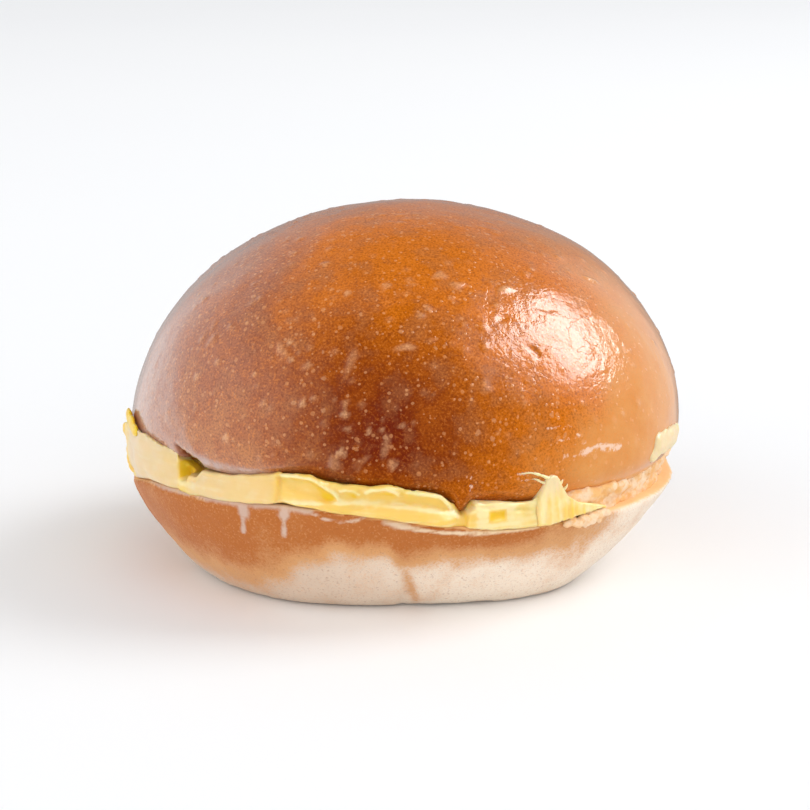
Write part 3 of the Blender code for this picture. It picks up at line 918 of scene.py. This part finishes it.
# %% Smears on the crust
# lines of (angle, height in mm), half width in mm and strength
SMEARS = (
    (((302.6, 28.8), (304.2, 29.9), (305.4, 29.3), (306.6, 29.8), (308.4, 29.4)), 0.7, 0.8),
    (((308.2, 29.9), (309.8, 30.1), (311.6, 30.6), (313.5, 30.7), (315.6, 30.2), (318, 29.9)), 0.8, 1),
    (((311.6, 29.8), (314.2, 29.6), (317.6, 29.3)), 0.5, 0.8),
    (((281.8, 28.5), (283.3, 28.1), (284.3, 26.9), (284.3, 25.4), (283, 24.4)), 0.45, 0.75),
    (((293.6, 27.6), (296, 27.7), (298.5, 27.1), (300.5, 26.2)), 0.5, 0.9),
    (((294.8, 26.3), (297, 26.4), (299.4, 25.3)), 0.4, 0.8),
    (((301.2, 33), (304, 32.6), (307.5, 33.1)), 0.5, 0.7),
    (((300.4, 35), (303, 35.2), (306, 34.8)), 0.5, 0.65),
    (((306, 31.4), (308, 31.8), (310.4, 31.4)), 0.5, 0.65),
)
paint_on(crown, "smear", near_lines(unrolled(crown_points), SMEARS))
print("smears:", len(SMEARS))

# %% [markdown]
# ### Lumps and crumbs
# Where the butter stops short of the edge, the torn crumb shows: the knife has dragged it into small
# rough clumps. A clump is a flattened icosphere, and many of them overlap. The same remesh joins them
# into one spongy body, and a fine cloud pattern roughens it. A white lump of butter has been pressed
# out onto the crust on that side, and a small one at the left, which is painted the deepest yellow
# all over as painted shade.


# %% Clumps that melt together
def clump(azimuth, height, reach, length, tall, thick):
    """A flattened lump at this place on the edge; the three sizes are half sizes in mm."""
    bpy.ops.mesh.primitive_ico_sphere_add(subdivisions=2, radius=MM)
    piece = bpy.context.object
    axes = np.array([aim(azimuth, 0) * thick, aim(azimuth + 90, 0) * length, (0, 0, tall)])
    place(piece, points_of(piece) @ axes + on_edge(azimuth, height, reach))
    return piece


# angle, height in mm, reach from the bun's axis in mm, then half length, height and thickness in mm
WHITE_LUMP = (
    (330.4, 25.6, 51.9, 1.8, 1.5, 1), (332, 27, 52.2, 2.2, 2.2, 1.1), (335.2, 27, 52.4, 2.6, 2.3, 1.1),
    (338, 27.3, 52.5, 2.6, 2.4, 1.1), (341, 27.2, 52.4, 2.4, 2.4, 1), (344, 27, 52.3, 2.4, 2.1, 0.9),
    (332.2, 28.4, 52.2, 1.8, 1.5, 0.9), (335.4, 28.6, 52.4, 2, 1.3, 0.9),
    (333.6, 28.2, 52.3, 1.6, 1.4, 0.8), (347, 26.8, 52, 2.4, 2, 0.9), (350, 25.6, 51.6, 2.2, 1.6, 0.9),
)
white_lump = joined("butter_lump", [clump(*row) for row in WHITE_LUMP], 0.24, 45, 2.4, 0.45)
paint_on(white_lump, "milky_and_shade", 0.5)
paint_on(white_lump, "deep", 0.0)
SHADED_TIP = (
    (191, 29.2, 51.8, 2.2, 1.5, 0.6), (194.5, 29.5, 52, 2.4, 1.7, 0.6), (198, 29.2, 52.1, 2.4, 1.7, 0.6),
    (201, 28.6, 52.2, 2.2, 1.4, 0.6),
)
shaded_tip = joined("butter_tip", [clump(*row) for row in SHADED_TIP], 0.24, 30, 1.6, 0.25)
# painted the deepest yellow all over: painted shade, for its dark olive look
paint_on(shaded_tip, "deep", 1.0)

# %% The torn crumb
# single clumps in front, and then four rows of them round the side, which die out at the end
FRONT_CRUMBS = (
    (305.4, 17.3, 49.9, 0.9, 0.8, 0.6), (307.8, 17.1, 50.1, 1.2, 0.9, 0.8),
    (309.3, 17.8, 50.2, 1, 0.8, 0.7), (311.4, 17.2, 50.4, 1.3, 1, 0.8), (313.2, 17.9, 50.4, 1, 0.8, 0.7),
    (315.5, 18.1, 50.6, 1.1, 0.8, 0.7), (306.6, 18, 50.2, 0.8, 0.7, 0.6),
    (310.2, 16.4, 49.9, 0.9, 0.7, 0.6), (313.9, 17, 50.2, 0.9, 0.7, 0.6),
)
CRUMB_FROM, CRUMB_TO, CRUMB_STEP = 307, 373, 1.5
CRUMB_FALLS_FROM, CRUMB_FALL = 356, 0.16
CRUMB_LEVELS = ((18.3, 48.2), (19.6, 48.2), (20.9, 48.7), (22.0, 49.4))
crumb_rows = list(FRONT_CRUMBS)
for azimuth in np.arange(CRUMB_FROM, CRUMB_TO, CRUMB_STEP):
    dies_out = CRUMB_FALL * max(azimuth - CRUMB_FALLS_FROM, 0)
    for height, reach in CRUMB_LEVELS:
        angle = azimuth + chance.uniform(-0.6, 0.6)
        height += chance.uniform(-0.2, 0.2)
        reach += chance.uniform(-0.4, 0.4) - dies_out
        crumb_rows.append((angle, height, reach, 1.8, 1.2, chance.uniform(1.0, 1.5)))
torn_crumb = joined("torn_crumb", [clump(*row) for row in crumb_rows], 0.3, 6, 3.0, 1.1)
uneven(torn_crumb, "crumb grit", 1.1, 2, 0.5)
print("clumps in the torn crumb:", len(crumb_rows))

# %% [markdown]
# ## Materials
# Each finish is a small network of nodes. A few helpers add a node to the tree in hand and wire it, so
# that a network reads like a recipe. Patterns use Object coordinates in metres, so their scales are given
# as a size in mm.


# %% Node helpers
def fill_in(node, inputs):
    """Sets a node's inputs, by name or number: a node's output is wired, and a constant is set."""
    for name, value in inputs.items():
        if isinstance(value, bpy.types.NodeSocket):
            tree.links.new(value, node.inputs[name])
        else:
            node.inputs[name].default_value = value


def add_node(kind, inputs=None, **settings):
    """Adds a node to the tree in hand, with its settings and its inputs."""
    node = tree.nodes.new("ShaderNode" + kind)
    for name, value in settings.items():
        setattr(node, name, value)
    fill_in(node, inputs or {})
    return node


def start_finish(name):
    """Starts a material, and makes its tree the one in hand."""
    global tree
    finish = bpy.data.materials.new(name)
    finish.use_nodes = True
    tree = finish.node_tree
    tree.nodes.clear()
    return finish


def put_finish(finish, pieces, inputs):
    """Ends a material with its shader and puts it on these pieces."""
    shader = add_node("BsdfPrincipled", inputs)
    add_node("OutputMaterial", {"Surface": shader.outputs[0]})
    for piece in pieces:
        piece.data.materials.append(finish)
    print(finish.name, "has", len(tree.nodes), "nodes")


def worked(operation, a, b):
    return add_node("Math", {0: a, 1: b}, operation=operation).outputs[0]


def plus(a, b):
    return worked("ADD", a, b)


def times(a, b):
    return worked("MULTIPLY", a, b)


def stretch(value, low, high, to_low=0.0, to_high=1.0, curve="SMOOTHSTEP"):
    """Maps one range of values on another, softly unless told otherwise."""
    inputs = {"Value": value, "From Min": low, "From Max": high, "To Min": to_low, "To Max": to_high}
    return add_node("MapRange", inputs, interpolation_type=curve).outputs["Result"]


def painted(name):
    return add_node("Attribute", attribute_name=name).outputs["Fac"]


def pattern(kind, size, **inputs):
    """A pattern whose lumps or cells are about this many mm."""
    where = add_node("TexCoord").outputs["Object"]
    return add_node(kind, {"Vector": where, "Scale": 1 / (size * MM), **inputs})


def speckles(size, detail=2.0, roughness=0.5, distortion=0.0):
    inputs = {"Detail": detail, "Roughness": roughness, "Distortion": distortion}
    return pattern("TexNoise", size, **inputs).outputs["Fac"]


# %% Colours and relief
def linear(colour):
    """A colour as seen on a screen, 0 to 255, as the light that a shader wants; a socket stays as it is."""
    if isinstance(colour, bpy.types.NodeSocket):
        return colour
    shares = [c / 255 for c in colour]
    return tuple(((c + 0.055) / 1.055) ** 2.4 if c > 0.04 else c / 12.92 for c in shares) + (1,)


def blend_colours(share, a, b):
    return add_node("Mix", {"Factor": share, 6: a, 7: b}, data_type="RGBA").outputs[2]


def layered(base, *layers):
    """Colours laid over a base one after another: each layer is how much it covers and its colour."""
    colour = linear(base)
    for share, over in layers:
        colour = blend_colours(share, colour, linear(over))
    return colour


def relief(height, depth):
    return add_node("Bump", {"Height": height, "Distance": depth * MM, "Strength": 1.0}).outputs["Normal"]


# %% [markdown]
# ### Glossy egg-washed crust
# Egg wash bakes to a thin clear skin over the coloured crust, so the finish has two layers as well: a
# rough coloured base that gives a broad soft shine, and a smooth clear coat that mirrors the lamp. The
# colour runs from orange to a deep red brown, with a fine grain, round pale dots where bubbles dried, and
# paler blister caps. The coat carries thin wrinkles, drawn where a slow cloud pattern crosses its middle
# value, as contour lines are drawn on a map.
# Painted into the colour as well are shade on the left side and in the torn notch, a pale reflection higher
# up the left side, and glints on a few blister caps.


# %% Round dots and contour lines
def dots(spacing, largest, share, ragged):
    """Round dots scattered this many mm apart; the largest is this many mm across."""
    cell = pattern("TexVoronoi", spacing)
    chosen = add_node("SeparateColor", {"Color": cell.outputs["Color"]}).outputs["Red"]
    radius = stretch(chosen, 1 - share, 1.0, 0.0, largest / 2 / spacing)
    radius = plus(radius, stretch(speckles(largest / 2), 0.3, 0.7, -ragged, 0.0))
    return stretch(worked("SUBTRACT", radius, cell.outputs["Distance"]), 0.0, 0.09)


def contour_lines(size, width):
    """Thin lines that wander like contours, through a cloud pattern of this size in mm."""
    gap = worked("SUBTRACT", speckles(size, 2.5, 0.5, 0.4), 0.5)
    return stretch(worked("ABSOLUTE", gap, 0.0), width, 0.0)


# %% The crown's colours
crust_finish = start_finish("glossy crust")
grain = speckles(0.40, 2.0, 0.65)
mottle = stretch(speckles(5, 4.0, 0.6), 0.3, 0.7, -0.18, 0.18)
# the darkest and the lightest grains show less where the skin is pale or brown already
pale_share = stretch(painted("pale"), 0.1, 0.8, 1.0, 0.12)
brown_share = stretch(painted("browning"), 0.3, 1.0, 1.0, 0.45)
fine_dots = dots(1.0, 0.75, 0.7, 0.06)
large_dots = dots(2.6, 1.5, 0.5, 0.12)
broken_smear = plus(painted("smear"), times(speckles(1.3, 4.0, 0.75), 2.2))
crust_colour = layered(
    (207, 110, 4),
    (plus(painted("browning"), mottle), (110, 26, 0)),
    # painted shade: the left side, which lies in shade, is painted darker and greyer
    (plus(painted("painted_left_shade"), mottle), (160, 92, 60)),
    (plus(painted("pale"), times(mottle, 0.8)), (224, 154, 84)),
    (times(stretch(grain, 0.50, 0.34, 0.0, 0.42), pale_share), (98, 32, 4)),
    (times(stretch(grain, 0.52, 0.70, 0.0, 0.50), brown_share), (226, 136, 58)),
    (times(dots(1.5, 1.1, 0.6, 0.08), 0.30), (238, 168, 110)),
    (times(fine_dots, 0.36), (240, 172, 116)),
    (times(large_dots, 0.30), (236, 176, 126)),
    # pale blister caps, and painted glints on a few near the gloss
    (times(painted("caps_and_glints"), stretch(grain, 0.3, 0.7, 0.45, 0.8)), (236, 182, 134)),
    # the greyish film: butter fat by the cut, and higher up the left side a painted reflection
    (times(painted("film_and_reflection"), stretch(speckles(1.6, 3.0), 0.3, 0.6, 0.5, 1.0)), (186, 168, 164)),
    # painted shade in the torn notch under the crown's edge
    (painted("shaded_notch"), (112, 48, 20)),
    (stretch(broken_smear, 1.70, 2.10, 0.0, 0.8), (246, 212, 188)),
    (painted("crumb"), (244, 222, 178)),
)

# %% The crown's shine and fine relief
wrinkles = plus(times(contour_lines(4.0, 0.024), 0.5), times(speckles(1.5, 3.0, 0.6), 3.4))
low_relief = plus(plus(times(grain, 0.25), times(fine_dots, 0.5)), times(large_dots, 0.8))
crust_relief = relief(worked("SUBTRACT", low_relief, times(painted("wrinkled"), wrinkles)), 0.05)
put_finish(crust_finish, (crown,), {
    "Base Color": crust_colour,
    "Roughness": 0.36,
    "Specular IOR Level": 0.06,
    "Coat Weight": 0.9,
    "Coat Roughness": 0.09,
    "Coat IOR": 1.5,
    "Normal": crust_relief,
    "Coat Normal": crust_relief,
})

# %% [markdown]
# ### Soft heel crust
# The heel has no egg wash. It is matt, with a fine floury grain, and fades from a light brown under the
# cut through tan to cream. Its top face, where it shows, is crumb.
# The cream is paler on the lit right and front and darker on the shaded left: partly flour, partly painted
# light.

# %% The heel's finish
heel_finish = start_finish("floury heel")
heel_grain = speckles(0.5, 3.0, 0.65)
tone = plus(
    stretch(speckles(5, 3.0, 0.5), 0.3, 0.7, -0.08, 0.08), stretch(speckles(11, 2.0), 0.3, 0.7, -0.10, 0.10)
)
tone = plus(plus(painted("browning"), tone), stretch(heel_grain, 0.3, 0.7, -0.09, 0.09))
run_off = plus(painted("glaze"), times(speckles(1.8, 4.0), 0.9))
# the glaze too is painted paler on the lit side and darker on the shaded left
milk = layered((208, 180, 166), (painted("floury_and_painted_light"), (250, 228, 190)))
heel_colour = layered(
    (220, 196, 174),
    # paler cream on the lit side: partly flour, partly painted light
    (painted("floury_and_painted_light"), (250, 235, 216)),
    (stretch(tone, 0.0, 0.5), (216, 158, 104)),
    (stretch(tone, 0.5, 1.0), (186, 107, 46)),
    (stretch(heel_grain, 0.46, 0.30, 0.0, 0.38), (160, 88, 40)),
    (stretch(speckles(0.45, 3.0), 0.52, 0.72, 0.0, 0.28), (232, 176, 118)),
    (painted("crumb"), (250, 206, 150)),
    (stretch(run_off, 0.65, 1.35, 0.0, 0.85), milk),
)
put_finish(heel_finish, (heel,), {
    "Base Color": heel_colour,
    "Roughness": 0.6,
    "Specular IOR Level": 0.25,
    "Normal": relief(plus(heel_grain, speckles(1.4, 3.0)), 0.10),
})

# %% [markdown]
# ### Soft butter
# Butter scatters light under its surface, which rounds off its shading and fills its hollows with
# yellow. Two painted numbers steer its colour: how deep the yellow is, which is painted shade in
# hollows and a painted highlight on crests, and how milky it is, which is greyer where it has been
# smeared thin and darker on the left side as painted shade.

# %% The butter's finish
butter_finish = start_finish("soft butter")
depth = plus(painted("deep"), stretch(speckles(2.5), 0.3, 0.7, -0.10, 0.10))
butter_colour = layered(
    (252, 230, 172),
    (stretch(depth, 0.0, 0.5), (247, 207, 108)),
    (stretch(depth, 0.5, 1.0), (243, 198, 36)),
    # greyer where smeared thin, and darker on the left side as painted shade
    (painted("milky_and_shade"), (222, 198, 168)),
)
put_finish(butter_finish, (butter, butter_heart, peak, wisps, white_lump, shaded_tip), {
    "Base Color": butter_colour,
    "Roughness": 0.35,
    "Subsurface Weight": 0.5,
    "Subsurface Radius": (1.0, 0.6, 0.25),
    "Subsurface Scale": 1.5 * MM,
    "Normal": relief(speckles(0.7, 3.0), 0.04),
})

# %% [markdown]
# ### Torn crumb
# Crumb is the bread's inside: dry, open and cream, with toasted edges.

# %% The crumb's finish
crumb_finish = start_finish("torn crumb")
crumb_colour = layered(
    (252, 222, 188),
    (stretch(speckles(2.8, 4.0, 0.65), 0.36, 0.64), (246, 190, 122)),
    (stretch(speckles(1.5, 3.0), 0.62, 0.76, 0.0, 0.7), (214, 138, 70)),
)
put_finish(crumb_finish, (torn_crumb,), {
    "Base Color": crumb_colour,
    "Roughness": 0.8,
    "Specular IOR Level": 0.2,
    "Normal": relief(speckles(0.5, 4.0, 0.7), 0.25),
})

# %% [markdown]
# Nothing on the bun moves, so every piece rides on the root. The big pieces stand for the imported solids
# that they were copied from, which are hidden.

# %% Pieces ride on the part
for piece, node, slot in (
    (crown, "crown", "crust"),
    (heel, "heel", "heel_crust"),
    (butter, "butter", "butter"),
    (butter_heart, "butter", "butter"),
):
    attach(piece, "root")
    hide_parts(node)
for piece, slot in (
    (peak, "butter"), (wisps, "butter"), (white_lump, "butter"), (shaded_tip, "butter"),
    (torn_crumb, "heel_crust"),
):
    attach(piece, "root")

# %% [markdown]
# ## Floor, light and camera
# The bun stands on a plain white table in soft light from the right and a little behind, which gives the
# broad gloss on the crown's right shoulder and a soft shadow to the left. What surrounds the bun is
# mirrored as a pale veil in the crust's left side.

# %% The table
bpy.ops.mesh.primitive_plane_add(size=10, location=(0, 0, 0))
table = bpy.context.object
table.name = "table"
table_finish = start_finish("white table")
cloudy = stretch(speckles(600), 0.3, 0.7)
table_colour = blend_colours(cloudy, (0.955, 0.965, 0.985, 1), (0.965, 0.975, 0.99, 1))
put_finish(table_finish, (table,), {"Base Color": table_colour, "Roughness": 1, "Specular IOR Level": 0})
table.visible_glossy = False


# %% Lights
def card(name, aim_from, distance, size, radiance, lights_surfaces):
    """A square soft light that faces the bun; one that lights no surfaces is only mirrored in them."""
    direction = Vector(aim_from).normalized()
    light = bpy.data.lights.new(name, "AREA")
    light.shape = "SQUARE"
    light.size = size
    light.energy = radiance * math.pi * size * size
    holder = bpy.data.objects.new(name, light)
    bpy.context.scene.collection.objects.link(holder)
    holder.location = direction * distance + Vector(MIDDLE)
    holder.rotation_euler = direction.to_track_quat("Z", "Y").to_euler()
    holder.visible_diffuse = lights_surfaces
    return holder


card("key", (0.75, 0.15, 0.72), 2.2, 1.1, 4.8, True)
card("gloss", (0.73, -0.05, 0.66), 0.7, 0.43, 8.5, False)
fill = card("fill", (-0.8, -0.35, 0.5), 1.6, 1.2, 0.6, True)
fill.visible_glossy = False
print("lights:", len(bpy.data.lights))

# %% [markdown]
# ### The room
# Surfaces are lit by a pale room that is brighter in front. The glaze mirrors another one: white behind
# the bun's left side, dim elsewhere and softly bright around the gloss. One world can do both, because
# its shader can tell a mirrored ray from the others.

# %% The room that lights surfaces
world = bpy.data.worlds.new("studio")
world.use_nodes = True
tree = world.node_tree
direction = add_node("TexCoord").outputs["Generated"]
split = add_node("SeparateXYZ", {0: direction})
BACK, FRONT = 0.56, 1.5
room = stretch(split.outputs["Y"], 0.0, -1.0, BACK, FRONT, "LINEAR")

# %% The wall that the glaze mirrors
# its brightness at a few angles round the bun, seen from above
WALL = (
    (-35, 0), (5, 0.4), (35, 0.9), (58, 0.9), (74, 0.35), (95, 0.4), (110, 0.7), (122, 1.3), (140, 1.65),
    (175, 1.65), (195, 1.6), (210, 1.25), (225, 0.75), (238, 0.2), (250, 0),
)
BRIGHTEST = 2.4
turn = worked("ARCTAN2", times(split.outputs["X"], -1.0), split.outputs["Y"])
wall = add_node("ValToRGB", {0: plus(worked("DIVIDE", turn, math.tau), 0.5)})
wall.color_ramp.interpolation = "EASE"
stops = wall.color_ramp.elements
while len(stops) < len(WALL):
    stops.new(0.5)
for stop, (azimuth, brightness) in zip(stops, WALL):
    stop.position = 0.25 + azimuth / 360
    grey = brightness / BRIGHTEST
    stop.color = (grey, grey, grey, 1)
ceiling = stretch(split.outputs["Z"], 0.45, 0.92, BRIGHTEST, 0.25 * BRIGHTEST)

# %% The halo round the gloss, and both rooms in one world
GLOSS_AIM = Vector((0.73, -0.12, 0.66)).normalized()
HALO = 1.8
toward_gloss = add_node("VectorMath", {0: direction, 1: GLOSS_AIM}, operation="DOT_PRODUCT")
halo = stretch(toward_gloss.outputs["Value"], 0.80, 0.97, 0.0, HALO)
mirrored = plus(times(wall.outputs[0], ceiling), halo)
is_mirrored = add_node("LightPath").outputs["Is Glossy Ray"]
strength = add_node("Mix", {"Factor": is_mirrored, "A": room, "B": mirrored}).outputs["Result"]
fill_in(tree.nodes["Background"], {"Color": (1, 1, 1, 1), "Strength": strength})
bpy.context.scene.world = world
bpy.context.scene.view_settings.view_transform = "Standard"
print("nodes in the world:", len(tree.nodes))

# %% [markdown]
# ### The camera
# It looks down on the bun from a little above, from in front, with a long lens, as the photo was taken.

# %% The camera
CAMERA_LIFT = math.radians(14)
CAMERA_DISTANCE = 0.429
CAMERA_AIM = Vector((0.6 * MM, 0, 28.6 * MM))
away = Vector((0, -math.cos(CAMERA_LIFT), math.sin(CAMERA_LIFT)))
lens = bpy.data.cameras.new("camera")
lens.lens, lens.sensor_width = 100, 36
lens.clip_start, lens.clip_end = 0.01, 50
camera = bpy.data.objects.new("camera", lens)
bpy.context.scene.collection.objects.link(camera)
camera.location = CAMERA_AIM + away * CAMERA_DISTANCE
camera.rotation_euler = away.to_track_quat("Z", "Y").to_euler()
bpy.context.scene.camera = camera
